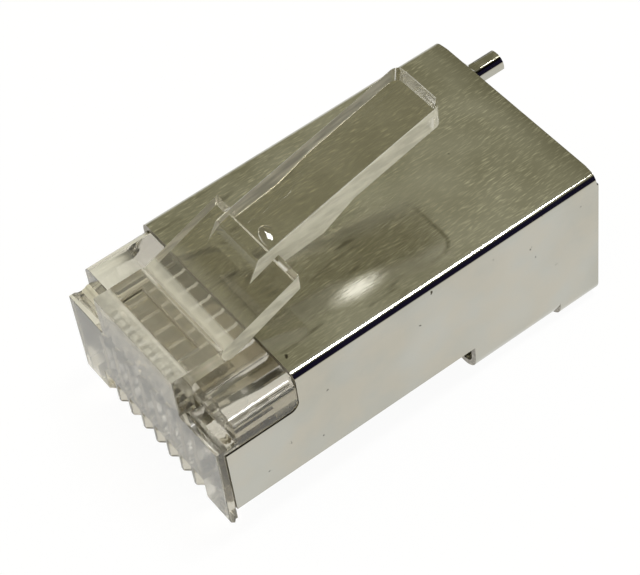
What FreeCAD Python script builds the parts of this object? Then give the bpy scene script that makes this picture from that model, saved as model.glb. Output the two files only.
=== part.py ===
import FreeCAD, Part
import math
import os
import re
import Sketcher

# Shielded eight-way modular plug, latch side up, nose towards -Y, cable end towards +Y, millimetres.
# Inside each body Y is counted from the nose face and Z from the plane the plug lies on.
doc = FreeCAD.newDocument("modular_plug")

SIZES = {
    # Sheet-metal shield: one blank folded round the housing.
    "plug_width": 11.7,
    "sheet_gauge": 0.3,
    "fold_radius": 0.5,
    "shield_height": 8.45,
    "shield_end": 21.5,
    "lid_front": 4.4,
    "panel_front": 0.45,
    "panel_top": 6.25,
    "panel_foot": 2.2,
    "notch_radius": 0.5,
    "wrap_front": 14.0,
    "wrap_radius": 0.9,
    "seam_gap": 0.12,
    "band_front": 19.15,
    "lap_gap": 0.05,
    "lap_margin": 1.3,
    "corner_reach": 0.9,
    "corner_cut": 0.1,
    # Drain tail: a narrow tongue of the lid, stepped down, its edges curled to take the drain wire.
    "tail_width": 1.1,
    "tail_offset": 3.5,
    "tail_reach": 1.8,
    "tail_drop": 0.4,
    "tail_curl": 0.65,
    "tail_step": 0.3,
    "tail_radius": 0.5,
    # Clear moulded housing.
    "fit_gap": 0.03,
    "nose_inset": 0.05,
    "nose_foot": 1.05,
    "nose_top": 6.65,
    "nose_depth": 1.1,
    "nose_chamfer": 0.46,
    "shoulder_top": 8.0,
    "shoulder_gap": 7.4,
    "shoulder_rounding": 0.5,
    "shoulder_inner_rounding": 0.12,
    "step_behind_lid": 0.2,
    "recess_floor": 7.1,
    "belly_width": 9.8,
    "belly_front": 0.55,
    "housing_end": 21.1,
    "dip_radius": 0.45,
    "dip_depth": 0.14,
    # Comb, contact slots and conductor channels.
    "contact_pitch": 1.02,
    "rib_width": 0.22,
    "comb_height": 2.8,
    "comb_end": 3.9,
    "channel_width": 0.86,
    "channel_floor": 5.7,
    "channel_ceiling": 6.8,
    "channel_front": 1.5,
    "channel_end": 9.0,
    # Cable entry and strain relief.
    "chamber_width": 8.4,
    "chamber_floor": 3.1,
    "chamber_end": 14.5,
    "entry_diameter": 6.5,
    "entry_height": 4.65,
    "window_front": 9.6,
    "window_length": 2.9,
    "window_width": 6.8,
    "bar_gap": 0.25,
    "bar_height": 1.5,
    "web_gauge": 0.35,
    # Gold-plated contact blades.
    "blade_gauge": 0.35,
    "blade_front": 0.5,
    "blade_end": 3.7,
    "blade_foot": 1.2,
    "blade_gap": 0.015,
    "blade_rounding": 0.45,
    "tine_width": 0.5,
    "tine_bite": 0.35,
    "tine_clearance": 0.1,
    # Latch, joined to the nose by a flexing root.
    "latch_width": 6.1,
    "hinge_reach": 3.05,
    "hinge_height": 8.65,
    "knuckle_diameter": 0.9,
    "hinge_gap": 0.03,
    "lip_setback": 0.34,
    "root_wall": 0.88,
    "root_rounding": 0.3,
    "pocket_width": 4.4,
    "pocket_length": 1.15,
    "pocket_depth": 0.45,
    "tab_slope": 22.0,
    "barb_reach": 7.0,
    "sole_step": 0.22,
    "finger_width": 3.15,
    "finger_front": 5.25,
    "finger_lead": 0.65,
    "finger_height": 11.1,
    "finger_slope": 13.9,
    "finger_end": 16.25,
    "finger_gauge": 1.2,
    "finger_belly": 1.75,
    "belly_reach": 9.4,
    "heel_reach": 11.2,
    "tip_rounding": 0.45,
}

sheet = doc.addObject("Spreadsheet::Sheet", "Sizes")
for row, (alias, size) in enumerate(SIZES.items(), start=1):
    sheet.set(f"A{row}", alias)
    sheet.set(f"B{row}", str(size))
    sheet.setAlias(f"B{row}", alias)
doc.recompute()

CONTACTS = 8
BEYOND = 30.0  # longer than the plug, for cuts that run right through


def tied(formula):
    """The formula with every size name pointing at its cell in the sheet."""
    return re.sub(r"[a-z_]+", lambda word: "Sizes." * (word[0] in SIZES) + word[0], str(formula))


def new_body(name, across="0"):
    """A body whose nose face, y = 0 inside it, lies half the plug's length in front of the origin."""
    body = doc.addObject("PartDesign::Body", name)
    body.Label = name
    body.setExpression("Placement.Base.x", tied(across))
    body.setExpression("Placement.Base.y", tied("-(shield_end + tail_reach) / 2"))
    return body


def new_sketch(body, name, role, level="0"):
    """A sketch on one of the body's own origin planes, raised along the plane's normal."""
    sketch = body.newObject("Sketcher::SketchObject", name)
    plane = next(item for item in body.Origin.OriginFeatures if item.Role == role)
    sketch.AttachmentSupport = [(plane, "")]
    sketch.MapMode = "FlatFace"
    sketch.setExpression("AttachmentOffset.Base.z", tied(level))
    return sketch


def reading(formula):
    """The present value of a formula."""
    return float(sheet.evalExpression(tied(formula)))


def vector(pair):
    """The point that a pair of formulas gives."""
    return FreeCAD.Vector(reading(pair[0]), reading(pair[1]), 0)


def place(sketch, geometry, end, across=None, along=None):
    """Hold one point of a sketch at a distance across and along from the sketch's origin."""
    for kind, axis, formula in (("DistanceX", -2, across), ("DistanceY", -1, along)):
        if formula is None:
            continue
        if abs(reading(formula)) < 1e-9:
            sketch.addConstraint(Sketcher.Constraint("PointOnObject", geometry, end, axis))
            continue
        index = sketch.addConstraint(Sketcher.Constraint(kind, -1, 1, geometry, end, reading(formula)))
        sketch.setExpression(f"Constraints[{index}]", tied(formula))


def outline(sketch, corners):
    """A closed outline through corners given as formulas. A third formula rounds off a square corner."""
    spots = [tuple(reading(part) for part in corner[:2]) for corner in corners]
    stops = []  # each with the centre of the arc that starts there, if one does
    for index, corner in enumerate(corners):
        if len(corner) == 2:
            stops.append((corner, None))
            continue
        across, along, radius = corner
        steps = []
        for other in (spots[index - 1], spots[(index + 1) % len(corners)]):
            away = [other[axis] - spots[index][axis] for axis in (0, 1)]
            steps.append([0 if abs(gap) < 1e-6 else int(gap > 0) - int(gap < 0) for gap in away])
        ends = [(f"{across} + {step[0]} * ({radius})", f"{along} + {step[1]} * ({radius})") for step in steps]
        both = [steps[0][axis] + steps[1][axis] for axis in (0, 1)]
        centre = (f"{across} + {both[0]} * ({radius})", f"{along} + {both[1]} * ({radius})")
        stops += [(ends[0], centre), (ends[1], None)]
    first = sketch.GeometryCount
    heads = []  # which end of each piece of the outline comes first
    for (stop, centre), (following, _) in zip(stops, stops[1:] + stops[:1]):
        start, finish = vector(stop), vector(following)
        if centre is None:
            sketch.addGeometry(Part.LineSegment(start, finish))
            heads.append(1)
            continue
        middle = vector(centre)
        circle = Part.Circle(middle, FreeCAD.Vector(0, 0, 1), (start - middle).Length)
        anticlockwise = (start - middle).cross(finish - middle).z > 0
        sweep = [math.atan2(end.y - middle.y, end.x - middle.x) for end in (start, finish)]
        sketch.addGeometry(Part.ArcOfCircle(circle, *(sweep if anticlockwise else sweep[::-1])))
        heads.append(1 if anticlockwise else 2)
    for index, (stop, centre) in enumerate(stops):
        following = (index + 1) % len(stops)
        ends = (first + index, 3 - heads[index], first + following, heads[following])
        sketch.addConstraint(Sketcher.Constraint("Coincident", *ends))
        place(sketch, first + index, heads[index], *stop)
        if centre:
            place(sketch, first + index, 3, centre[0])


def ring(sketch, across, along, diameter):
    """A circle whose centre and diameter are formulas."""
    circle = Part.Circle(vector((across, along)), FreeCAD.Vector(0, 0, 1), reading(diameter) / 2)
    index = sketch.addGeometry(circle)
    place(sketch, index, 3, across, along)
    constraint = sketch.addConstraint(Sketcher.Constraint("Diameter", index, reading(diameter)))
    sketch.setExpression(f"Constraints[{constraint}]", tied(diameter))


def extrude(body, kind, name, sketch, length, midplane=False, reverse=False):
    """A pad or a pocket of a sketch, checked for having changed the body's volume."""
    before = body.Shape.Volume if body.Tip else 0.0
    feature = body.newObject(kind, name)
    feature.Profile = sketch
    feature.Midplane = midplane
    feature.Reversed = reverse
    feature.setExpression("Length", tied(length))
    doc.recompute()
    after = feature.Shape.Volume
    if abs(after - before) < 1e-6:
        raise ValueError(f"{name} changes nothing")
    return feature


def pad(body, name, sketch, length, **options):
    return extrude(body, "PartDesign::Pad", name, sketch, length, **options)


def pocket(body, name, sketch, length, **options):
    return extrude(body, "PartDesign::Pocket", name, sketch, length, **options)


def soften(body, name, radius, chosen, kind="PartDesign::Fillet"):
    """A fillet or chamfer on every edge of the body that the given test picks."""
    tip = body.Tip
    edges = [f"Edge{count}" for count, edge in enumerate(tip.Shape.Edges, start=1) if chosen(edge)]
    if not edges:
        raise ValueError(f"{name} finds no edge")
    feature = body.newObject(kind, name)
    feature.Base = (tip, edges)
    feature.setExpression("Radius" if kind.endswith("Fillet") else "Size", tied(radius))
    doc.recompute()
    return feature


NEAR = 1e-4  # millimetres, between an edge and where it is looked for
STRAIGHT = 1e-6


def along_x(edge, reach, height):
    """Whether an edge runs across the plug at a given reach from the nose and a given height."""
    box = edge.BoundBox
    flat = box.YLength < STRAIGHT and box.ZLength < STRAIGHT
    return flat and abs(box.YMin - reading(reach)) < NEAR and abs(box.ZMin - reading(height)) < NEAR


def along_y(edge, across, height):
    """Whether an edge runs lengthwise at a given distance from the middle and a given height."""
    box = edge.BoundBox
    flat = box.XLength < STRAIGHT and box.ZLength < STRAIGHT
    return flat and abs(abs(box.XMin) - reading(across)) < NEAR and abs(box.ZMin - reading(height)) < NEAR


def upright_at(edge, across, reach):
    """Whether an edge stands upright at a given distance from the middle and a given reach."""
    box = edge.BoundBox
    flat = box.XLength < STRAIGHT and box.YLength < STRAIGHT
    return flat and abs(abs(box.XMin) - reading(across)) < NEAR and abs(box.YMin - reading(reach)) < NEAR


# ---- Shield ---------------------------------------------------------------------------------------
HALF = "plug_width / 2"
SKIN = "(plug_width / 2 - sheet_gauge)"
FLAP = "(sheet_gauge + lap_gap)"
shield = new_body("shield")

channel_section = new_sketch(shield, "ChannelSection", "XZ_Plane", "-panel_front")
outline(channel_section, [
    (f"-({HALF})", "panel_foot"), (f"-({HALF})", "shield_height", "fold_radius"),
    (HALF, "shield_height", "fold_radius"), (HALF, "panel_foot"),
    (SKIN, "panel_foot"), (SKIN, "shield_height - sheet_gauge", "fold_radius - sheet_gauge"),
    (f"-{SKIN}", "shield_height - sheet_gauge", "fold_radius - sheet_gauge"), (f"-{SKIN}", "panel_foot"),
])
pad(shield, "Channel", channel_section, "shield_end - panel_front", reverse=True)

notch = new_sketch(shield, "NoseNotch", "YZ_Plane")
outline(notch, [
    ("0", "panel_top"), ("lid_front", "panel_top", "notch_radius"),
    ("lid_front", "shield_height + fold_radius"), ("0", "shield_height + fold_radius"),
])
pocket(shield, "NoseOpening", notch, BEYOND, midplane=True)

for side, name, wrap_end in ((-1, "Left", "shield_end"), (1, "Right", "band_front")):
    wrap_section = new_sketch(shield, f"{name}WrapSection", "XZ_Plane", "-wrap_front")
    outline(wrap_section, [
        (f"{side} * {HALF}", "panel_foot"), (f"{side} * {HALF}", FLAP, "wrap_radius"),
        (f"{side} * seam_gap / 2", FLAP), (f"{side} * seam_gap / 2", f"{FLAP} + sheet_gauge"),
        (f"{side} * {SKIN}", f"{FLAP} + sheet_gauge", "wrap_radius - sheet_gauge"),
        (f"{side} * {SKIN}", "panel_foot"),
    ])
    pad(shield, f"{name}Wrap", wrap_section, f"{wrap_end} - wrap_front", reverse=True)

lap_section = new_sketch(shield, "LapSection", "XZ_Plane", "-band_front")
outline(lap_section, [
    ("-seam_gap / 2", FLAP), (f"{HALF} - lap_margin", FLAP),
    (f"{HALF} - lap_margin", f"{FLAP} + sheet_gauge"), ("-seam_gap / 2", f"{FLAP} + sheet_gauge"),
])
pad(shield, "InnerLap", lap_section, "shield_end - band_front", reverse=True)
band_section = new_sketch(shield, "BandSection", "XZ_Plane", "-band_front")
outline(band_section, [
    (HALF, "panel_foot"), (HALF, "0", "wrap_radius"), (f"-({HALF} - lap_margin)", "0"),
    (f"-({HALF} - lap_margin)", "sheet_gauge"), (SKIN, "sheet_gauge", "wrap_radius - sheet_gauge"),
    (SKIN, "panel_foot"),
])
pad(shield, "OuterLap", band_section, "shield_end - band_front", reverse=True)

# The blank's corners are cut back where the lid runs into the folds at the rear.
corner_plan = new_sketch(shield, "CornerPlan", "XY_Plane", "shield_height")
for side in (-1, 1):
    outline(corner_plan, [
        (f"{side} * ({HALF} - corner_reach)", "shield_end"),
        (f"{side} * {HALF}", "shield_end - corner_cut"),
        (f"{side} * {HALF}", "shield_end"),
    ])
pocket(shield, "CornerCuts", corner_plan, "fold_radius")

tongue = new_sketch(shield, "TailTongue", "YZ_Plane", "-tail_offset")
outline(tongue, [
    ("shield_end - tail_step", "shield_height"), ("shield_end", "shield_height"),
    ("shield_end + tail_step", "shield_height - tail_drop"),
    ("shield_end + tail_step + sheet_gauge", "shield_height - tail_drop"),
    ("shield_end + tail_step + sheet_gauge", "shield_height - tail_drop - sheet_gauge"),
    ("shield_end + tail_step / 2", "shield_height - tail_drop - sheet_gauge"),
    ("shield_end - tail_step / 2", "shield_height - sheet_gauge"),
    ("shield_end - tail_step", "shield_height - sheet_gauge"),
])
pad(shield, "TailWeb", tongue, "tail_width - 2 * sheet_gauge", midplane=True)
curl_section = new_sketch(shield, "TailCurlSection", "XZ_Plane", "-(shield_end + tail_step)")
CURL_TOP = "shield_height - tail_drop"
CURL_SIDE = "(tail_width / 2)"
CURL_INNER = "(tail_width / 2 - sheet_gauge)"
outline(curl_section, [
    (f"-tail_offset - {CURL_SIDE}", f"{CURL_TOP} - tail_curl"),
    (f"-tail_offset - {CURL_SIDE}", CURL_TOP, "tail_radius"),
    (f"-tail_offset + {CURL_SIDE}", CURL_TOP, "tail_radius"),
    (f"-tail_offset + {CURL_SIDE}", f"{CURL_TOP} - tail_curl"),
    (f"-tail_offset + {CURL_INNER}", f"{CURL_TOP} - tail_curl"),
    (f"-tail_offset + {CURL_INNER}", f"{CURL_TOP} - sheet_gauge", "tail_radius - sheet_gauge"),
    (f"-tail_offset - {CURL_INNER}", f"{CURL_TOP} - sheet_gauge", "tail_radius - sheet_gauge"),
    (f"-tail_offset - {CURL_INNER}", f"{CURL_TOP} - tail_curl"),
])
pad(shield, "TailCurl", curl_section, "tail_reach - tail_step", reverse=True)

# ---- Housing --------------------------------------------------------------------------------------
housing = new_body("housing")
SHOULDER = "(shield_height - sheet_gauge - fit_gap)"
FLOOR = "(2 * sheet_gauge + lap_gap + fit_gap)"
FLANGE_BACK = "(panel_front - fit_gap)"
NOSE = "(plug_width - 2 * nose_inset)"

core_side = new_sketch(housing, "CoreSide", "YZ_Plane")
outline(core_side, [
    ("0", "nose_foot + nose_chamfer"), ("nose_chamfer", "nose_foot"),
    ("wrap_front + fit_gap", "nose_foot"), ("wrap_front + fit_gap", FLOOR),
    ("housing_end", FLOOR), ("housing_end", SHOULDER),
    ("lid_front + step_behind_lid", SHOULDER), ("lid_front + step_behind_lid", "shoulder_top"),
    ("nose_depth", "shoulder_top"), ("nose_depth", "nose_top"), ("0", "nose_top"),
])
pad(housing, "Core", core_side, f"2 * ({SKIN} - fit_gap)", midplane=True)

flange_side = new_sketch(housing, "FlangeSide", "YZ_Plane")
outline(flange_side, [
    ("0", "nose_foot + nose_chamfer"),
    (f"{FLANGE_BACK} / 2", f"nose_foot + nose_chamfer - {FLANGE_BACK} / 2"),
    (FLANGE_BACK, f"nose_foot + nose_chamfer + {FLANGE_BACK}"),
    (FLANGE_BACK, "panel_top + fit_gap"), ("lid_front - fit_gap", "panel_top + fit_gap"),
    ("lid_front - fit_gap", "shoulder_top"), ("nose_depth", "shoulder_top"),
    ("nose_depth", "nose_top"), ("0", "nose_top"),
])
pad(housing, "Flange", flange_side, NOSE, midplane=True)
soften(housing, "NotchSeats", "notch_radius - fit_gap",
       lambda edge: along_x(edge, "lid_front - fit_gap", "panel_top + fit_gap"))
soften(housing, "ShoulderEdges", "shoulder_rounding",
       lambda edge: along_y(edge, f"{NOSE} / 2", "shoulder_top"))
soften(housing, "LidFoldRelief", "fold_radius",
       lambda edge: along_y(edge, f"{SKIN} - fit_gap", SHOULDER))

belly_plan = new_sketch(housing, "BellyPlan", "XY_Plane")
for side in (-1, 1):
    outline(belly_plan, [
        (f"{side} * belly_width / 2", "belly_front"), (f"{side} * plug_width", "belly_front"),
        (f"{side} * plug_width", "housing_end + fit_gap"),
        (f"{side} * belly_width / 2", "housing_end + fit_gap"),
    ])
pocket(housing, "BellySteps", belly_plan, "panel_foot", reverse=True)

dip = new_sketch(housing, "DipSection", "YZ_Plane")
ring(dip, "nose_depth - dip_radius", "nose_top + dip_radius - dip_depth", "2 * dip_radius")
pocket(housing, "RimDip", dip, BEYOND, midplane=True)

recess = new_sketch(housing, "RecessPlan", "XY_Plane", "recess_floor")
outline(recess, [
    ("-shoulder_gap / 2", "nose_depth"), ("shoulder_gap / 2", "nose_depth"),
    ("shoulder_gap / 2", "lid_front + step_behind_lid"),
    ("-shoulder_gap / 2", "lid_front + step_behind_lid"),
])
pocket(housing, "LatchRecess", recess, "shield_height", reverse=True)
soften(housing, "ShoulderInnerEdges", "shoulder_inner_rounding",
       lambda edge: along_y(edge, "shoulder_gap / 2", "shoulder_top"))

# The latch root stands up from the nose and reaches back over the recess to the flexing line.
root_side = new_sketch(housing, "RootSide", "YZ_Plane")
ROOT_TOP = "(hinge_height + knuckle_diameter / 2)"
ROOT_SOLE = "(hinge_height - knuckle_diameter / 2)"
outline(root_side, [
    ("0", "nose_top - nose_depth"), ("root_wall", "nose_top - nose_depth"),
    ("root_wall", ROOT_SOLE), ("hinge_reach - lip_setback", ROOT_SOLE),
    ("hinge_reach - lip_setback", ROOT_TOP), ("0", ROOT_TOP),
])
pad(housing, "LatchRoot", root_side, "latch_width", midplane=True)
soften(housing, "RootFillet", "root_rounding", lambda edge: along_x(edge, "root_wall", ROOT_SOLE))
groove = new_sketch(housing, "GrooveSection", "YZ_Plane")
ring(groove, "hinge_reach", "hinge_height", "knuckle_diameter + 2 * hinge_gap")
pocket(housing, "KnuckleGroove", groove, "latch_width + 2 * hinge_gap", midplane=True)
thinning = new_sketch(housing, "PocketPlan", "XY_Plane", ROOT_TOP)
outline(thinning, [
    ("-pocket_width / 2", "root_wall"), ("pocket_width / 2", "root_wall"),
    ("pocket_width / 2", "root_wall + pocket_length"),
    ("-pocket_width / 2", "root_wall + pocket_length"),
])
pocket(housing, "RootPocket", thinning, "pocket_depth")

# Cable chamber and round entry, from the back.
chamber_side = new_sketch(housing, "ChamberSide", "YZ_Plane")
outline(chamber_side, [
    ("channel_end", "channel_floor - blade_gauge"), ("channel_end", "channel_ceiling"),
    ("chamber_end", "channel_ceiling"), ("chamber_end", "chamber_floor"),
    ("window_front", "chamber_floor"),
])
pocket(housing, "Chamber", chamber_side, "chamber_width", midplane=True)
entry = new_sketch(housing, "EntrySection", "XZ_Plane", "-housing_end")
ring(entry, "0", "entry_height", "entry_diameter")
pocket(housing, "CableEntry", entry, "housing_end - chamber_end", reverse=True)

# Strain-relief bar, hinged by a thin web in a window in the belly.
window = new_sketch(housing, "WindowPlan", "XY_Plane")
outline(window, [
    ("-window_width / 2", "window_front"), ("window_width / 2", "window_front"),
    ("window_width / 2", "window_front + window_length"),
    ("-window_width / 2", "window_front + window_length"),
])
pocket(housing, "BellyWindow", window, "chamber_floor", reverse=True)
bar_side = new_sketch(housing, "BarSide", "YZ_Plane")
outline(bar_side, [
    ("window_front - bar_gap", "nose_foot"), ("window_front + window_length - bar_gap", "nose_foot"),
    ("window_front + window_length - bar_gap", "nose_foot + bar_height"),
    ("window_front + 2 * bar_gap", "nose_foot + bar_height"),
    ("window_front + bar_gap", "nose_foot + web_gauge"),
    ("window_front - bar_gap", "nose_foot + web_gauge"),
])
pad(housing, "StrainReliefBar", bar_side, "window_width - 2 * bar_gap", midplane=True)

# Comb: contact slots open at the front and below, conductor channels above them.
comb_side = new_sketch(housing, "CombSection", "XZ_Plane", "-comb_end")
conductor = new_sketch(housing, "ChannelWindow", "XZ_Plane", "-channel_end")
blade_seat = new_sketch(housing, "BladeSeatSection", "XZ_Plane", "-(blade_end + blade_gap)")
FIRST = f"((1 - {CONTACTS}) * contact_pitch / 2)"


def upright(sketch, width, foot, top):
    """A rectangle standing on the first contact's line."""
    left, right = f"{FIRST} - ({width}) / 2", f"{FIRST} + ({width}) / 2"
    outline(sketch, [(left, foot), (left, top), (right, top), (right, foot)])


upright(comb_side, "contact_pitch - rib_width", "-nose_foot", "comb_height")
upright(conductor, "channel_width", "channel_floor", "channel_ceiling")
upright(blade_seat, "blade_gauge + 2 * blade_gap", "-nose_foot", "channel_floor")
comb_slot = pocket(housing, "CombSlot", comb_side, BEYOND, reverse=True)
channel = pocket(housing, "ConductorChannel", conductor, "channel_end - channel_front", reverse=True)
seat_length = "blade_end - blade_front + 2 * blade_gap"
seat = pocket(housing, "BladeSeat", blade_seat, seat_length, reverse=True)
row = housing.newObject("PartDesign::LinearPattern", "ContactRow")
row.Originals = [comb_slot, channel, seat]
row.Direction = (comb_side, ["H_Axis"])
row.setExpression("Length", tied(f"({CONTACTS} - 1) * contact_pitch"))
row.Occurrences = CONTACTS
housing.Tip = row
doc.recompute()

# ---- Contacts -------------------------------------------------------------------------------------
# Not yet pressed in: the tips of the tines lie just under the conductor channels.
TINES = 3
BLADE_TOP = "(channel_floor - tine_bite - tine_clearance)"
contacts = []
for count in range(CONTACTS):
    contact = new_body(f"contact_{count + 1}", f"({count} - ({CONTACTS} - 1) / 2) * contact_pitch")
    blade = new_sketch(contact, f"BladeSide{count + 1}", "YZ_Plane")
    corners = [("blade_front", "blade_foot"), ("blade_end", "blade_foot"), ("blade_end", BLADE_TOP)]
    for tine in range(TINES):
        centre = f"blade_end - (blade_end - blade_front) * ({tine} + 0.5) / {TINES}"
        corners += [
            (f"{centre} + tine_width / 2", BLADE_TOP), (centre, f"{BLADE_TOP} + tine_bite"),
            (f"{centre} - tine_width / 2", BLADE_TOP),
        ]
    outline(blade, corners + [("blade_front", BLADE_TOP)])
    pad(contact, f"Blade{count + 1}", blade, "blade_gauge", midplane=True)
    soften(contact, f"BladeNose{count + 1}", "blade_rounding",
           lambda edge: along_x(edge, "blade_front", "blade_foot"))
    contacts.append(contact)

# ---- Latch ----------------------------------------------------------------------------------------
latch = new_body("latch")
BARREL = "knuckle_diameter / 2"
knuckle = new_sketch(latch, "KnuckleSection", "YZ_Plane")
ring(knuckle, "hinge_reach", "hinge_height", "knuckle_diameter")
pad(latch, "Knuckle", knuckle, "latch_width", midplane=True)
tab_side = new_sketch(latch, "TabSide", "YZ_Plane")
RISE = "(barb_reach - hinge_reach) * tan(tab_slope)"
outline(tab_side, [
    (f"hinge_reach - {BARREL} * sin(tab_slope)", f"hinge_height + {BARREL} * cos(tab_slope)"),
    ("barb_reach", f"hinge_height + {RISE} + {BARREL} / cos(tab_slope)"),
    ("barb_reach", f"hinge_height + {RISE} - {BARREL} / cos(tab_slope)"),
    (f"hinge_reach + {BARREL} * sin(tab_slope)", f"hinge_height - {BARREL} * cos(tab_slope)"),
])
pad(latch, "Tab", tab_side, "latch_width", midplane=True)
finger_side = new_sketch(latch, "FingerSide", "YZ_Plane")
TAB_TOP = f"hinge_height + (finger_front - hinge_reach) * tan(tab_slope) + {BARREL} / cos(tab_slope)"
LEAD = "(finger_front + finger_lead)"
outline(finger_side, [
    ("finger_front", f"{TAB_TOP} - {BARREL}"), ("finger_front", TAB_TOP),
    (LEAD, "finger_height"),
    ("finger_end", f"finger_height + (finger_end - {LEAD}) * tan(finger_slope)"),
    ("finger_end", f"finger_height + (finger_end - {LEAD}) * tan(finger_slope) - finger_gauge"),
    ("heel_reach", f"finger_height + (heel_reach - {LEAD}) * tan(finger_slope) - finger_gauge"),
    ("belly_reach", f"finger_height + (belly_reach - {LEAD}) * tan(finger_slope) - finger_belly"),
    ("barb_reach", f"hinge_height + {RISE} - {BARREL} / cos(tab_slope) + sole_step"),
])
pad(latch, "Finger", finger_side, "finger_width", midplane=True)
soften(latch, "FingerTip", "tip_rounding", lambda edge: upright_at(edge, "finger_width / 2", "finger_end"))

# ---- Check and export -----------------------------------------------------------------------------
for item in doc.Objects:
    if "Invalid" in item.State or "Error" in item.State:
        raise RuntimeError(f"{item.Label} failed")
os.makedirs("parts", exist_ok=True)
for body in [shield, housing, *contacts, latch]:
    if body.Shape.isNull() or not body.Shape.isValid() or len(body.Shape.Solids) != 1:
        raise RuntimeError(f"{body.Label} is not one valid solid")
    body.Shape.exportStep(f"parts/{body.Label}.step")
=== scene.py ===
import math
import bmesh
import bpy
from mathutils import Matrix, Vector


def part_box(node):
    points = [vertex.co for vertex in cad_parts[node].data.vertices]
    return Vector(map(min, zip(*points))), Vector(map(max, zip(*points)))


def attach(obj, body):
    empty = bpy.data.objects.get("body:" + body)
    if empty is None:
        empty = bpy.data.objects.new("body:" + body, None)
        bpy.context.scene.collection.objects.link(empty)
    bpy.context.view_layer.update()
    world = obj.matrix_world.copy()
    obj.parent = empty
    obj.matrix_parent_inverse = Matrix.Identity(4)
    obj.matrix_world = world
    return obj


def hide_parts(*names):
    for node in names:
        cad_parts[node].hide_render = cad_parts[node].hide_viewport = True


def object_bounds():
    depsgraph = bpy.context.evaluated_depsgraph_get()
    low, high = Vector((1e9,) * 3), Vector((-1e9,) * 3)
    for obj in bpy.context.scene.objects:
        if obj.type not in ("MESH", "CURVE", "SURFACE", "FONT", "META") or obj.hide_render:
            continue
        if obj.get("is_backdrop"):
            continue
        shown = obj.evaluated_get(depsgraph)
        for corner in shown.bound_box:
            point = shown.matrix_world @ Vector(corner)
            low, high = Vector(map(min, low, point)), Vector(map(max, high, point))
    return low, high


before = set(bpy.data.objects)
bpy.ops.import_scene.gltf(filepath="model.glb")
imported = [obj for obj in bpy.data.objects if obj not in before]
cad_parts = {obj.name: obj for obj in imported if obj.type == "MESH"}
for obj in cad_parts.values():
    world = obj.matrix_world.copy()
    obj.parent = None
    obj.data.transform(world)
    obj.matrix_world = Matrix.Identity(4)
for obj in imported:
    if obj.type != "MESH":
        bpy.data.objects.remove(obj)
cad_low, cad_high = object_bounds()

# ---- Shield ---------------------------------------------------------------------------------------
# One blank of rolled phosphor-bronze sheet, nickel plated, folded round the housing. The rolls leave fine
# lengthwise lines, the press leaves two marks on the lid, and the shears leave the cut ends torn. Glints on
# the lid's scratches, a highlight on the scuff and shade on the lid's rear and punch line are painted into
# the colour.
MM = 0.001
NICKEL = "#b9b8ae"
NICKEL_STAIN = "#9f9d8e"
NICKEL_WARM = "#c4bba8"
# Painted shade: the colour of the lid's drooping rear and of the punch's line.
PAINTED_LID_SHADE = "#8d8b7c"
# Painted highlight: the colour of the glints along the scratches on the lid.
PAINTED_SCRATCH_GLINT = "#f1efdd"
# Painted highlight: the near-white colour of the scuff on the lid.
PAINTED_SCUFF_HIGHLIGHT = "#fffdf4"
SMEAR = "#5f5a4b"
SPECK = "#4b463b"
SHEARED = "#7f7a6f"
SHEARED_SHINE = "#b5b0a4"
LEDGE = "#2e2a24"

# Rolled lines are really about 0.02 mm apart. They are drawn about twice as coarse, so that they show.
ROLLED_LINES = {"grain_mm": 0.045, "low": 0.3, "high": 0.7, "stretch": 11.0}
# Painted highlight: the scratches on the lid are drawn as pale glints, in broad patches.
SCRATCH_GLINTS = {"grain_mm": 0.045, "low": 0.53, "high": 0.75, "stretch": 11.0}
GLINT_PATCHES = {"grain_mm": 5.0, "low": 0.28, "high": 0.6}
STAINS = {"grain_mm": 3.5, "low": 0.35, "high": 0.7, "detail": 1.5}
MOTTLES = {"grain_mm": 1.8, "low": 0.4, "high": 0.65, "detail": 2.5}
SMEARS = {"grain_mm": 0.42, "low": 0.57, "high": 0.72, "detail": 4.0, "stretch": 5.0}
SPECKS = {"grain_mm": 0.5, "low": 0.735, "high": 0.76}
TORN_GRAIN = {"grain_mm": 0.12, "low": 0.4, "high": 0.7}

# A face counts as facing up, or along the plug, where its normal has more than this share of that axis.
ALONG = 0.8
LID_FROM_MM = 8.0
LEDGE_FROM_MM = 4.0
LID_DROOP_MM = 1.3
TAIL_REACH_MM = 1.8
SIDE_STAIN_SHARE = 0.4
MOTTLE_SHARE = 0.35
SMEAR_SHARE = 0.65
SMEARS_BEHIND_MM = 1.0
SMEARS_AHEAD_MM = -1.0

SCUFF_AT_MM = (3.75, -2.2)
SCUFF_HALF_MM = (0.7, 1.7)
SCUFF_RIM = 1.15
SCUFF_BASE = 0.65
SCUFF_LINES = 0.7
SCUFF_MATT_SHARE = 0.8

PRESS_MARK_AT_MM = (2.5, 0.0)
PRESS_MARK_HALF_MM = (1.35, 1.6)
PRESS_MARK_RADIUS_MM = 0.9
PRESS_MARK_LINE_MM = 0.16
PRESS_MARK_REAR_MM = (0.6, 2.2)
PRESS_MARK_RIGHT_MM = (1.4, 2.6)

ROLLED_ROUGHNESS = (0.13, 0.22)
TORN_ROUGHNESS = 0.4
SCUFF_ROUGHNESS = 0.5
FOLD_ROUGHNESS = 0.07
FOLD_SLANT = (0.05, 0.15)
LINE_BUMP = 0.15
LINE_DEPTH_MM = 0.004
WAVE_BUMP = 0.2
WAVE_DEPTH_MM = 0.015


def linear(colour):
    """An sRGB hex colour as linear red, green, blue and alpha."""
    parts = [int(colour[start:start + 2], 16) / 255 for start in (1, 3, 5)]
    return [part / 12.92 if part <= 0.04045 else ((part + 0.055) / 1.055) ** 2.4 for part in parts] + [1.0]


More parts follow.
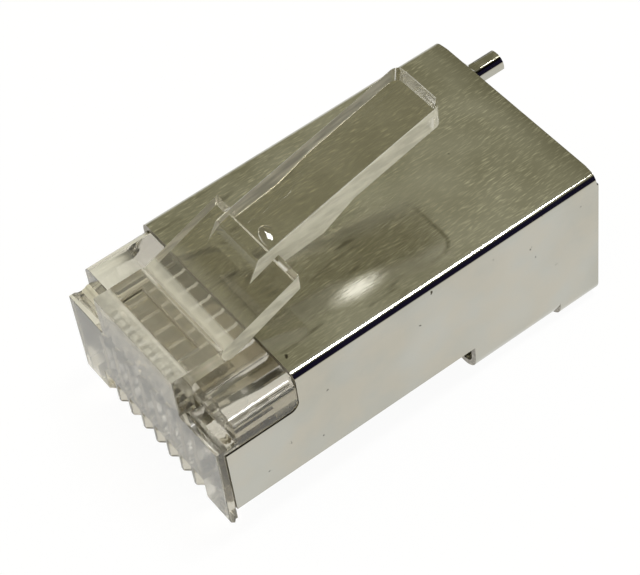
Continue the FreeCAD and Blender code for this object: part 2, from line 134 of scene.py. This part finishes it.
def add(tree, kind, links=None, **settings):
    """Add a node. A link gives an input, by its name or number, a node, an output, a colour or a value."""
    node = tree.nodes.new(f"ShaderNode{kind}")
    for name, value in settings.items():
        setattr(node, name, value)
    for name, value in (links or {}).items():
        named = [entry for entry in node.inputs if entry.enabled and entry.name == name]
        socket = named[0] if named else node.inputs[name]
        if isinstance(value, bpy.types.Node):
            value = [output for output in value.outputs if output.enabled][0]
        if isinstance(value, bpy.types.NodeSocket):
            tree.links.new(value, socket)
        else:
            socket.default_value = linear(value) if isinstance(value, str) else value
    return node


def new_material(name):
    """An empty node material, its tree and the output of its object coordinates."""
    material = bpy.data.materials.new(name)
    material.use_nodes = True
    tree = material.node_tree
    tree.nodes.clear()
    return material, tree, add(tree, "TexCoord").outputs["Object"]


def finish_node(node, material):
    """Give a CAD node's object one material all over."""
    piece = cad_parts[node]
    piece.data.materials.clear()
    piece.data.materials.append(material)


def blotches(tree, place, grain_mm, low, high, detail=3.0, stretch=1.0):
    """Noise of a given grain, stretched lengthwise, from 0 where it is below low to 1 above high."""
    size = 1 / (grain_mm * MM)
    spread = add(tree, "Mapping", {"Vector": place, "Scale": (size, size / stretch, size)})
    noise = add(tree, "TexNoise", {"Vector": spread, "Scale": 1.0, "Detail": detail})
    return add(tree, "MapRange", {"Value": noise, "From Min": low, "From Max": high})


# Nickel on rolled sheet mirrors its surroundings softly, with smears along the rolling on the lid, dull
# stains, warm mottles on the sides and a few dark specks. Scratches along the rolling on the lid are painted
# as pale glints, a painted highlight, and the lid also gets painted shade and a painted highlight on its
# scuff.
nickel, tree, place = new_material("nickel_plated_sheet")
facing = add(tree, "SeparateXYZ", {0: add(tree, "NewGeometry").outputs["Normal"]}).outputs
where = add(tree, "SeparateXYZ", {0: place}).outputs
upward = add(tree, "Math", {0: facing["Z"], 1: ALONG}, operation="GREATER_THAN")
high = add(tree, "Math", {0: where["Z"], 1: LID_FROM_MM * MM}, operation="GREATER_THAN")
on_lid = add(tree, "Math", {0: upward, 1: high}, operation="MULTIPLY")
raised = add(tree, "Math", {0: where["Z"], 1: LEDGE_FROM_MM * MM}, operation="GREATER_THAN")
below_lid = add(tree, "Math", {0: upward, 1: on_lid}, operation="SUBTRACT")
on_ledge = add(tree, "Math", {0: below_lid, 1: raised}, operation="MULTIPLY")
lengthwise = add(tree, "Math", {0: facing["Y"]}, operation="ABSOLUTE")
on_end = add(tree, "Math", {0: lengthwise, 1: ALONG}, operation="GREATER_THAN")
sheared = add(tree, "Math", {0: on_ledge, 1: on_end}, operation="MAXIMUM")
lines = blotches(tree, place, **ROLLED_LINES)
# Painted highlight: pale glints along fine scratches on the lid, shown in broad patches.
flashes = blotches(tree, place, **SCRATCH_GLINTS)
patch = blotches(tree, place, **GLINT_PATCHES)
patched = add(tree, "Math", {0: flashes, 1: patch}, operation="MULTIPLY")
scratch_glints = add(tree, "Math", {0: patched, 1: on_lid}, operation="MULTIPLY")
stains = blotches(tree, place, **STAINS)
more_on_lid = add(tree, "Math", {0: on_lid, 1: 1 - SIDE_STAIN_SHARE, 2: SIDE_STAIN_SHARE},
                  operation="MULTIPLY_ADD")
stained = add(tree, "Math", {0: stains, 1: more_on_lid}, operation="MULTIPLY")

# The press left two marks on the lid. They are outlined in plan, with a half-height so large that the height
# doesn't count. The first is an oval patch that the press rubbed matt, and it is painted pale, near white, as
# a painted highlight.
centre = [part * MM for part in SCUFF_AT_MM] + [LID_FROM_MM * MM]
off_scuff = add(tree, "VectorMath", {0: place, 1: centre}, operation="SUBTRACT")
half = [part * MM for part in SCUFF_HALF_MM] + [1.0]
shares = add(tree, "VectorMath", {0: off_scuff, 1: half}, operation="DIVIDE")
off_centre = add(tree, "VectorMath", {0: shares}, operation="LENGTH").outputs["Value"]
fading = add(tree, "MapRange", {"Value": off_centre, "From Min": SCUFF_RIM, "From Max": 0.0},
             interpolation_type="SMOOTHSTEP")
streaked = add(tree, "Math", {0: lines, 1: SCUFF_LINES, 2: SCUFF_BASE}, operation="MULTIPLY_ADD")
rubbed = add(tree, "Math", {0: fading, 1: streaked}, operation="MULTIPLY")
scuff_and_highlight = add(tree, "Math", {0: rubbed, 1: on_lid}, operation="MULTIPLY")

# The second is painted shade along the line of a punch with round corners, which shows at its right rear
# corner.
centre = [part * MM for part in PRESS_MARK_AT_MM] + [LID_FROM_MM * MM]
off_mark = add(tree, "VectorMath", {0: place, 1: centre}, operation="SUBTRACT")
folded = add(tree, "VectorMath", {0: off_mark}, operation="ABSOLUTE")
half = [part * MM for part in PRESS_MARK_HALF_MM] + [LID_FROM_MM * MM]
past = add(tree, "VectorMath", {0: folded, 1: half}, operation="SUBTRACT")
outside = add(tree, "VectorMath", {0: past}, operation="MAXIMUM")
reach = add(tree, "VectorMath", {0: outside}, operation="LENGTH").outputs["Value"]
off_line = add(tree, "Math", {0: reach, 1: PRESS_MARK_RADIUS_MM * MM}, operation="SUBTRACT")
from_line = add(tree, "Math", {0: off_line}, operation="ABSOLUTE")
punch_line_shade = add(tree, "MapRange", {"Value": from_line, "From Min": PRESS_MARK_LINE_MM * MM, "From Max": 0.0})
rear = add(tree, "MapRange", {"Value": where["Y"], "From Min": PRESS_MARK_REAR_MM[0] * MM,
                              "From Max": PRESS_MARK_REAR_MM[1] * MM})
right = add(tree, "MapRange", {"Value": where["X"], "From Min": PRESS_MARK_RIGHT_MM[0] * MM,
                               "From Max": PRESS_MARK_RIGHT_MM[1] * MM})
right_punch_shade = add(tree, "Math", {0: punch_line_shade, 1: right}, operation="MULTIPLY")
painted_punch_shade = add(tree, "Math", {0: right_punch_shade, 1: rear}, operation="MULTIPLY")

# Painted shade: the lid droops a little at its rear, so it is painted darker there, as it is along the
# punch's line.
lid_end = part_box("shield")[1].y - TAIL_REACH_MM * MM
flat_end = lid_end - LID_DROOP_MM * MM
droop_shade = add(tree, "MapRange", {"Value": where["Y"], "From Min": flat_end, "From Max": lid_end})
painted_shade_mask = add(tree, "Math", {0: droop_shade, 1: painted_punch_shade}, operation="MAXIMUM")
lid_shade_share = add(tree, "Math", {0: painted_shade_mask, 1: on_lid}, operation="MULTIPLY")

# Colour, from the plating up: stains, warm mottles off the lid, painted shade, scratches painted as pale
# glints, the scuff painted pale as a highlight, smears, specks, then the cut ends, and the ledges below the
# lid near black.
plated = add(tree, "Mix", {"Factor": stained, "A": NICKEL, "B": NICKEL_STAIN}, data_type="RGBA")
mottles = blotches(tree, place, **MOTTLES)
mottled = add(tree, "Math", {0: mottles, 1: MOTTLE_SHARE}, operation="MULTIPLY")
not_upward = add(tree, "Math", {0: 1.0, 1: upward}, operation="SUBTRACT")
warming = add(tree, "Math", {0: mottled, 1: not_upward}, operation="MULTIPLY")
warmed = add(tree, "Mix", {"Factor": warming, "A": plated, "B": NICKEL_WARM}, data_type="RGBA")
# Painted shade on the lid's rear and along the punch's line.
shade_painted = add(tree, "Mix", {"Factor": lid_shade_share, "A": warmed, "B": PAINTED_LID_SHADE}, data_type="RGBA")
glinted = add(tree, "Mix", {"Factor": scratch_glints, "A": shade_painted, "B": PAINTED_SCRATCH_GLINT}, data_type="RGBA")
# Painted highlight: the matt scuff is painted pale, near white.
scuff_lit = add(tree, "Mix", {"Factor": scuff_and_highlight, "A": glinted, "B": PAINTED_SCUFF_HIGHLIGHT}, data_type="RGBA")
smears = blotches(tree, place, **SMEARS)
smears_on_lid = add(tree, "Math", {0: smears, 1: on_lid}, operation="MULTIPLY")
ahead = add(tree, "MapRange", {"Value": where["Y"], "From Min": SMEARS_BEHIND_MM * MM,
                               "From Max": SMEARS_AHEAD_MM * MM, "To Max": SMEAR_SHARE})
smear_share = add(tree, "Math", {0: smears_on_lid, 1: ahead}, operation="MULTIPLY")
smeared = add(tree, "Mix", {"Factor": smear_share, "A": scuff_lit, "B": SMEAR}, data_type="RGBA")
specks = blotches(tree, place, **SPECKS)
speckled = add(tree, "Mix", {"Factor": specks, "A": smeared, "B": SPECK}, data_type="RGBA")
torn = blotches(tree, place, **TORN_GRAIN)
ragged = add(tree, "Mix", {"Factor": torn, "A": SHEARED, "B": SHEARED_SHINE}, data_type="RGBA")
ended = add(tree, "Mix", {"Factor": on_end, "A": speckled, "B": ragged}, data_type="RGBA")
colour = add(tree, "Mix", {"Factor": on_ledge, "A": ended, "B": LEDGE}, data_type="RGBA")

# Gloss. The fold is stretched smooth, so what it mirrors is sharper.
rolled = add(tree, "MapRange", {"Value": lines, "To Min": ROLLED_ROUGHNESS[0], "To Max": ROLLED_ROUGHNESS[1]})
torn_gloss = add(tree, "Math", {0: sheared, 1: TORN_ROUGHNESS}, operation="MULTIPLY")
dull = add(tree, "Math", {0: scuff_and_highlight, 1: SCUFF_ROUGHNESS}, operation="MULTIPLY")
duller = add(tree, "Math", {0: torn_gloss, 1: dull}, operation="MAXIMUM")
matt = add(tree, "Math", {0: rolled, 1: duller}, operation="MAXIMUM")
slant = add(tree, "Math", {0: facing["X"], 1: facing["Z"]}, operation="MULTIPLY")
fold = add(tree, "MapRange", {"Value": slant, "From Min": FOLD_SLANT[0], "From Max": FOLD_SLANT[1]})
gloss = add(tree, "Mix", {"Factor": fold, "A": matt, "B": FOLD_ROUGHNESS}, data_type="FLOAT")
metal = add(tree, "Math", {0: scuff_and_highlight, 1: -SCUFF_MATT_SHARE, 2: 1.0}, operation="MULTIPLY_ADD")
ripples = add(tree, "Math", {0: lines, 1: on_lid}, operation="MULTIPLY")
dents = add(tree, "Bump", {"Height": ripples, "Strength": LINE_BUMP, "Distance": LINE_DEPTH_MM * MM})
waves = add(tree, "Bump", {"Height": stains, "Strength": WAVE_BUMP, "Distance": WAVE_DEPTH_MM * MM,
                           "Normal": dents})
shell = add(tree, "BsdfPrincipled", {"Base Color": colour, "Metallic": metal, "Roughness": gloss,
                                     "Normal": waves})
add(tree, "OutputMaterial", {"Surface": shell})
finish_node("shield", nickel)

# ---- Housing --------------------------------------------------------------------------------------
# One injection moulding in clear polycarbonate. The mould was polished for the body and left rough
# for the nose, and its edges came out with a small radius.
HOUSING_RESIN = "#d0cbbd"
RESIN_SHADE = "#e9e6dd"
MILK = "#f1efe5"
# Solid polycarbonate bends light by 1.58. The mouldings have less, so that what is behind keeps its place.
HOUSING_IOR = 1.45
HOUSING_ROUGHNESS = 0.05
FROST_ROUGHNESS = 0.07
HOUSING_EDGE_MM = 0.045
SHORTEST_EDGE_MM = 0.8
EDGE_STEPS = 2
EDGE_ROUNDNESS = 0.5
FLATS_WEIGHT = 100
SHARP_DEGREES = 35
FLAT_DEGREES = 1
WELD_MM = 0.001
SLIVER_MM = 0.0005
FROSTED_DEPTH_MM = 0.95
FROST_FADE = 0.85
NOSE_TOP_MM = 6.65
NOSE_TOP_FADE_MM = 0.5
FLAT_TOP = (0.3, 0.7)
SHOULDER_MM = 3.6
TROUGH_FLOOR = (0.5, 0.9)
TROUGH_MILK = 0.75
FROST_CLOUDS = {"grain_mm": 0.5, "low": 0.3, "high": 0.7}
CLOUD_SHARE = 0.4
CLOUD_BASE = 0.8
WALL_MILK = 0.1
TOP_MILK = 0.4
BODY_MILK_SHARE = 0.28
MATT_SIDE = (0.8, 0.95)
SIDE_STREAKS = {"grain_mm": 0.5, "low": 0.38, "high": 0.62, "stretch": 4.0}
LEAST_STREAK = 0.6
HOUSING_SIDE_MILK = 0.08


def clear_resin(tree, place, colour, ior, roughness, milkiness, side_milk):
    """Clear polycarbonate, as milky as it says, and streaked with milk on the matt walls that face right."""
    facing = add(tree, "SeparateXYZ", {0: add(tree, "NewGeometry").outputs["Normal"]}).outputs
    matt_side = add(tree, "MapRange", {"Value": facing["X"], "From Min": MATT_SIDE[0],
                                       "From Max": MATT_SIDE[1], "To Max": side_milk})
    streaks = blotches(tree, place, **SIDE_STREAKS)
    streaked = add(tree, "MapRange", {"Value": streaks, "To Min": LEAST_STREAK, "To Max": 1.0})
    wall = add(tree, "Math", {0: matt_side, 1: streaked}, operation="MULTIPLY")
    thickness = add(tree, "Math", {0: wall, 1: milkiness}, operation="MAXIMUM")
    resin = add(tree, "BsdfPrincipled", {"Base Color": colour, "Roughness": roughness, "IOR": ior,
                                         "Transmission Weight": 1.0})
    milk = add(tree, "BsdfDiffuse", {"Color": MILK})
    surface = add(tree, "MixShader", {0: thickness, 1: resin, 2: milk})
    passing = add(tree, "BsdfTransparent", {"Color": RESIN_SHADE})
    rays = add(tree, "LightPath").outputs
    skin = add(tree, "MixShader", {0: rays["Is Shadow Ray"], 1: surface, 2: passing})
    add(tree, "OutputMaterial", {"Surface": skin})


def moulded_copy(node, body, radius_mm, material, boss=None):
    """Stand a copy with rounded edges, and a boss joined on, in the place of a clear CAD node."""
    piece = bpy.data.objects.new(f"moulded_{node}", bpy.data.meshes.new(f"moulded_{node}"))
    bpy.context.scene.collection.objects.link(piece)
    shape = bmesh.new()
    shape.from_mesh(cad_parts[node].data)
    # Worked on in millimetres, so that the bevel's small lengths stay well clear of rounding.
    bmesh.ops.scale(shape, vec=(1 / MM,) * 3, verts=shape.verts)
    bmesh.ops.remove_doubles(shape, verts=shape.verts, dist=WELD_MM)
    bmesh.ops.dissolve_limit(shape, angle_limit=math.radians(FLAT_DEGREES), verts=shape.verts,
                             edges=shape.edges)
    sharp = math.radians(SHARP_DEGREES)
    edges = [edge for edge in shape.edges if edge.calc_length() > SHORTEST_EDGE_MM
             and edge.calc_face_angle_signed() > sharp]
    bmesh.ops.bevel(shape, geom=edges, offset=radius_mm, segments=EDGE_STEPS, profile=EDGE_ROUNDNESS,
                    affect="EDGES")
    bmesh.ops.remove_doubles(shape, verts=shape.verts, dist=SLIVER_MM)
    shape.to_mesh(piece.data)
    shape.free()
    if boss:
        joined = piece.modifiers.new("boss", "BOOLEAN")
        joined.operation = "UNION"
        joined.object = boss
    flats = piece.modifiers.new("flats_stay_flat", "WEIGHTED_NORMAL")
    flats.keep_sharp = True
    flats.weight = FLATS_WEIGHT
    piece.data.shade_smooth()
    piece.data.set_sharp_from_angle(angle=sharp)
    held = piece.evaluated_get(bpy.context.evaluated_depsgraph_get())
    piece.data = bpy.data.meshes.new_from_object(held)
    piece.modifiers.clear()
    piece.data.transform(Matrix.Scale(MM, 4))
    piece.data.materials.clear()
    piece.data.materials.append(material)
    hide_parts(node)
    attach(piece, body)


# Frosted polycarbonate blurs the blades behind it and has a thin cloud of milk in it, which is
# thickest on the nose and on the flat top of the latch's root.
frosted, tree, place = new_material("frosted_polycarbonate")
where = add(tree, "SeparateXYZ", {0: place}).outputs
facing = add(tree, "SeparateXYZ", {0: add(tree, "NewGeometry").outputs["Normal"]}).outputs
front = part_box("housing")[0].y
rough = add(tree, "MapRange", {"Value": where["Y"], "From Min": front + FROSTED_DEPTH_MM * MM,
                               "From Max": front + FROST_FADE * FROSTED_DEPTH_MM * MM})
roughness = add(tree, "Math", {0: rough, 1: FROST_ROUGHNESS, 2: HOUSING_ROUGHNESS}, operation="MULTIPLY_ADD")
high = add(tree, "MapRange", {"Value": where["Z"], "From Min": NOSE_TOP_MM * MM,
                              "From Max": (NOSE_TOP_MM + NOSE_TOP_FADE_MM) * MM})
flat = add(tree, "MapRange", {"Value": facing["Z"], "From Min": FLAT_TOP[0], "From Max": FLAT_TOP[1]})
high_flat = add(tree, "Math", {0: high, 1: flat}, operation="MULTIPLY")
milk = add(tree, "MapRange", {"Value": high_flat, "To Min": WALL_MILK, "To Max": TOP_MILK})
cloud = blotches(tree, place, **FROST_CLOUDS)
cloudy = add(tree, "Math", {0: cloud, 1: CLOUD_SHARE, 2: CLOUD_BASE}, operation="MULTIPLY_ADD")
milky = add(tree, "Math", {0: cloudy, 1: milk}, operation="MULTIPLY")
front_more = add(tree, "Math", {0: rough, 1: 1 - BODY_MILK_SHARE, 2: BODY_MILK_SHARE},
                 operation="MULTIPLY_ADD")
frost = add(tree, "Math", {0: milky, 1: front_more}, operation="MULTIPLY")
# The trough on the left shoulder is matt too.
left = add(tree, "Math", {0: where["X"], 1: -SHOULDER_MM * MM}, operation="LESS_THAN")
upward = add(tree, "MapRange", {"Value": facing["Z"], "From Min": TROUGH_FLOOR[0],
                                "From Max": TROUGH_FLOOR[1], "To Max": TROUGH_MILK})
trough = add(tree, "Math", {0: left, 1: upward}, operation="MULTIPLY")
milkiness = add(tree, "Math", {0: frost, 1: trough}, operation="MAXIMUM")
clear_resin(tree, place, HOUSING_RESIN, HOUSING_IOR, roughness, milkiness, HOUSING_SIDE_MILK)
moulded_copy("housing", "plug", HOUSING_EDGE_MM, frosted)

# ---- Latch ----------------------------------------------------------------------------------------
# Tab and finger in clear polycarbonate, moulded in one with the housing and bent at the root when they
# are pressed. The mould is polished here, and its gate left a small dome on the finger.
LATCH_RESIN = "#dfdcd2"
LATCH_IOR = 1.5
LATCH_ROUGHNESS = 0.01
LATCH_EDGE_MM = 0.07
LATCH_SIDE_MILK = 0.85
KNUCKLE_MM = 0.75
KNUCKLE_FADE_MM = 0.1
KNUCKLE_MILK = 0.45
NECK_MM = 1.9
NECK_FADE_MM = 0.2
NECK_MILK = 0.06
GATE_MARK_MM = (1.0, -4.65, 11.37)
GATE_MARK_HALVES_MM = (0.4, 0.62, 0.08)
GATE_MARK_LEAN = Vector((0.36, 0.0, 0.93))
GATE_MARK_SIDES = 24
GATE_MARK_RINGS = 12

# Polished polycarbonate is as clear as glass, so the lid shows sharply through it. It is whitened where
# it bends, and its right walls came off the mould matt.
polished, tree, place = new_material("clear_polycarbonate")
where = add(tree, "SeparateXYZ", {0: place}).outputs
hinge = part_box("latch")[0].y
knuckle = add(tree, "MapRange", {"Value": where["Y"], "From Min": hinge + (KNUCKLE_MM + KNUCKLE_FADE_MM) * MM,
                                 "From Max": hinge + (KNUCKLE_MM - KNUCKLE_FADE_MM) * MM,
                                 "To Max": KNUCKLE_MILK})
neck = add(tree, "MapRange", {"Value": where["Y"], "From Min": hinge + (NECK_MM + NECK_FADE_MM) * MM,
                              "From Max": hinge + (NECK_MM - NECK_FADE_MM) * MM, "To Max": NECK_MILK})
milkiness = add(tree, "Math", {0: knuckle, 1: neck}, operation="MAXIMUM")
clear_resin(tree, place, LATCH_RESIN, LATCH_IOR, LATCH_ROUGHNESS, milkiness, LATCH_SIDE_MILK)

# The gate mark is a flattened ball, leaning to the right, that is joined to the finger's top.
dome = bpy.data.meshes.new("gate_mark")
shape = bmesh.new()
bmesh.ops.create_uvsphere(shape, u_segments=GATE_MARK_SIDES, v_segments=GATE_MARK_RINGS, radius=1.0)
bmesh.ops.scale(shape, vec=GATE_MARK_HALVES_MM, verts=shape.verts)
bmesh.ops.rotate(shape, matrix=GATE_MARK_LEAN.to_track_quat("Z", "Y").to_matrix(), verts=shape.verts)
bmesh.ops.translate(shape, vec=GATE_MARK_MM, verts=shape.verts)
shape.to_mesh(dome)
shape.free()
gate_mark = bpy.data.objects.new("gate_mark", dome)
bpy.context.scene.collection.objects.link(gate_mark)
moulded_copy("latch", "latch", LATCH_EDGE_MM, polished, boss=gate_mark)
bpy.data.objects.remove(gate_mark)

# ---- Contacts -------------------------------------------------------------------------------------
# Eight blades stamped from phosphor bronze and plated with a thin flash of gold. They stand raised in
# the comb's slots, held by the resin on both sides, until the plug is crimped.
CONTACTS = 8
GOLD = "#9c917c"
GOLD_WORN = "#7f7666"
STAMPED_GRAIN = {"grain_mm": 0.15, "low": 0.3, "high": 0.7}
BLADE_ROUGHNESS = (0.2, 0.4)

# Flash gold is pale and thin: a dull warm shine, with browner grains where the stamped metal shows.
gold, tree, place = new_material("gold_plated_blade")
worn = blotches(tree, place, **STAMPED_GRAIN)
wear = add(tree, "MapRange", {"Value": worn, "To Min": BLADE_ROUGHNESS[0], "To Max": BLADE_ROUGHNESS[1]})
plated = add(tree, "Mix", {"Factor": worn, "A": GOLD, "B": GOLD_WORN}, data_type="RGBA")
blade = add(tree, "BsdfPrincipled", {"Base Color": plated, "Metallic": 1.0, "Roughness": wear})
add(tree, "OutputMaterial", {"Surface": blade})
for count in range(CONTACTS):
    finish_node(f"contact_{count + 1}", gold)

# ---- Floor ----------------------------------------------------------------------------------------
# A wide sheet of white paper that the plug lies on. Most of what the eye sees of it, straight on, in
# the metal and through the clear plastic, is an even white, and the rest takes the plug's soft shadow.
FLOOR_WHITE = "#f4f4f2"
FLOOR_SPAN = 2.0
FLOOR_GAP_MM = 0.02
PAPER_WHITE = "#ffffff"
PAPER_GLOW = 0.93
# The matt share is a little under white, so the glow is a little over it.
GLOW_STRENGTH = 1.02

# Matt paper: no gloss and no grain that shows at this distance.
paper, tree = new_material("white_paper")[:2]
matt = add(tree, "BsdfDiffuse", {"Color": FLOOR_WHITE})
glow = add(tree, "Emission", {"Color": PAPER_WHITE, "Strength": GLOW_STRENGTH})
rays = add(tree, "LightPath").outputs
eye = add(tree, "Math", {0: rays["Is Camera Ray"], 1: rays["Is Glossy Ray"]}, operation="MAXIMUM")
seen = add(tree, "Math", {0: eye, 1: rays["Is Transmission Ray"]}, operation="MAXIMUM")
share = add(tree, "Math", {0: seen, 1: PAPER_GLOW}, operation="MULTIPLY")
sheet = add(tree, "MixShader", {0: share, 1: matt, 2: glow})
add(tree, "OutputMaterial", {"Surface": sheet})
floor_mesh = bpy.data.meshes.new("floor")
half = FLOOR_SPAN / 2
corners = [(-half, -half, 0), (half, -half, 0), (half, half, 0), (-half, half, 0)]
floor_mesh.from_pydata(corners, [], [(0, 1, 2, 3)])
floor_mesh.materials.append(paper)
floor = bpy.data.objects.new("floor", floor_mesh)
floor.location.z = cad_low.z - FLOOR_GAP_MM * MM
bpy.context.scene.collection.objects.link(floor)
floor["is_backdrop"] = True

# ---- Light ----------------------------------------------------------------------------------------
# A plain room for the metal to mirror: soft grey-green walls, pale below and above, with a dark doorway
# on the right, and one soft lamp high behind the plug. Many bounces let light through the clear walls.
ROOM = "#b4b199"
ROOM_LOW = "#f1f0ea"
ROOM_TOP = "#c9c9c4"
ROOM_DARK = "#1d1a33"
# Heights, from 0 at the horizon to 1 overhead: pale up to the first, plain wall from the second to the
# third, and pale again from the fourth.
LOW_BAND, WALLS_FROM, WALLS_TO, TOP_BAND = 0.1, 0.25, 0.85, 0.98
# The doorway's place and size are shares of a direction whose length is 1.
DOOR_Y = 0.32
DOOR_HALF = 0.14
DOOR_BLUR = 0.08
DOOR_RIGHT = (0.25, 0.5)
DOOR_FOOT = (0.1, 0.2)
CLEAR_BOUNCES = 32
GLOSSY_BOUNCES = 16
LAMP_AZIMUTH = 162
LAMP_ELEVATION = 70
LAMP_DISTANCE = 0.5
LAMP_SIZE = 0.1
LAMP_WATTS = 1.1

bounces = bpy.context.scene.cycles
bounces.max_bounces = CLEAR_BOUNCES
bounces.transmission_bounces = CLEAR_BOUNCES
bounces.glossy_bounces = GLOSSY_BOUNCES
world = bpy.data.worlds.new("room")
bpy.context.scene.world = world
world.use_nodes = True
tree = world.node_tree
tree.nodes.clear()
aim = add(tree, "TexCoord").outputs["Generated"]
toward = add(tree, "SeparateXYZ", {"Vector": aim}).outputs
height = add(tree, "ValToRGB", {"Fac": toward["Z"]})
ramp = height.color_ramp
ramp.elements[0].position = LOW_BAND
ramp.elements[0].color = linear(ROOM_LOW)
ramp.elements[1].position = TOP_BAND
ramp.elements[1].color = linear(ROOM_TOP)
for position in (WALLS_FROM, WALLS_TO):
    stop = ramp.elements.new(position)
    stop.color = linear(ROOM)
right = add(tree, "MapRange", {"Value": toward["X"], "From Min": DOOR_RIGHT[0], "From Max": DOOR_RIGHT[1]},
            interpolation_type="SMOOTHSTEP")
above = add(tree, "MapRange", {"Value": toward["Z"], "From Min": DOOR_FOOT[0], "From Max": DOOR_FOOT[1]},
            interpolation_type="SMOOTHSTEP")
off_door = add(tree, "Math", {0: toward["Y"], 1: DOOR_Y}, operation="SUBTRACT")
aside = add(tree, "Math", {0: off_door}, operation="ABSOLUTE")
door = add(tree, "MapRange", {"Value": aside, "From Min": DOOR_HALF + DOOR_BLUR, "From Max": DOOR_HALF},
           interpolation_type="SMOOTHSTEP")
high_right = add(tree, "Math", {0: right, 1: above}, operation="MULTIPLY")
dark = add(tree, "Math", {0: high_right, 1: door}, operation="MULTIPLY")
walls = add(tree, "Mix", {"Factor": dark, "A": height, "B": ROOM_DARK}, data_type="RGBA")
glow = add(tree, "Background", {"Color": walls, "Strength": 1.0})
add(tree, "OutputWorld", {"Surface": glow})


def seen_from(azimuth, elevation):
    """The direction from the plug towards a place at this azimuth and elevation in degrees."""
    turn, tilt = math.radians(azimuth), math.radians(elevation)
    return Vector((math.sin(turn) * math.cos(tilt), -math.cos(turn) * math.cos(tilt), math.sin(tilt)))


softbox = bpy.data.lights.new("key", "AREA")
softbox.size = LAMP_SIZE
softbox.energy = LAMP_WATTS
lamp = bpy.data.objects.new("key", softbox)
away = seen_from(LAMP_AZIMUTH, LAMP_ELEVATION)
lamp.location = away * LAMP_DISTANCE
lamp.rotation_euler = away.to_track_quat("Z", "Y").to_euler()
bpy.context.scene.collection.objects.link(lamp)

# ---- Camera ---------------------------------------------------------------------------------------
# A long lens close to the plug, above its right front corner and rolled a little, so that the nose, the
# latch, the lid and the right side all show.
AZIMUTH = 59.52
ELEVATION = 50.94
ROLL = -8.43
DISTANCE_MM = 106.62
AIM_MM = Vector((-0.42, -1.68, 4.10))
LENS = 129.57
SENSOR_WIDTH = 36.0
NEAREST = 0.005

back = seen_from(AZIMUTH, ELEVATION)
turn, roll = math.radians(AZIMUTH), math.radians(ROLL)
level = Vector((math.cos(turn), math.sin(turn), 0))
upward = back.cross(level)
side = level * math.cos(roll) + upward * math.sin(roll)
top = upward * math.cos(roll) - level * math.sin(roll)
lens = bpy.data.cameras.new("camera")
lens.lens = LENS
lens.sensor_width = SENSOR_WIDTH
lens.clip_start = NEAREST
camera = bpy.data.objects.new("camera", lens)
camera.matrix_world = Matrix((side, top, back)).transposed().to_4x4()
camera.location = AIM_MM * MM + back * (DISTANCE_MM * MM)
bpy.context.scene.collection.objects.link(camera)
bpy.context.scene.camera = camera
bpy.context.scene.view_settings.view_transform = "Standard"

# ---- Size -----------------------------------------------------------------------------------------
# The box of what shows, in metres. The box of the solids was taken just after the import.
low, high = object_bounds()
